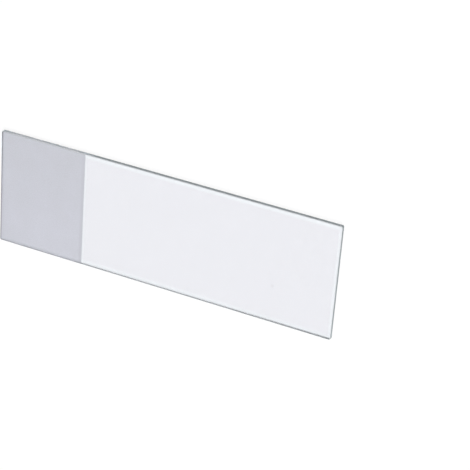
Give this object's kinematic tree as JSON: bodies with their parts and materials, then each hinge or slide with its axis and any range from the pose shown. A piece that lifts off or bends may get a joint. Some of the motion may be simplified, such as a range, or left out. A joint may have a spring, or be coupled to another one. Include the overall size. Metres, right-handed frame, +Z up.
{
  "type": "microscope slide",
  "caption": "Flat rectangular strip of clear glass with ground edges, dulled corners and a matt frosted field at one end, for carrying a specimen under a microscope.",
  "frame": {"origin": "centre of the lower face, on the surface that the slide lies on", "axes": "+X along the slide, away from the frosted end; +Y across it; +Z up, out of the frosted face"},
  "size_m": [0.0762, 0.0254, 0.001],
  "materials": {
    "slide_glass": "polished faces, ground rim, one end of the upper face ground matt"
  },
  "bodies": {
    "root": {"glass_slide": "slide_glass"}
  },
  "joints": []
}
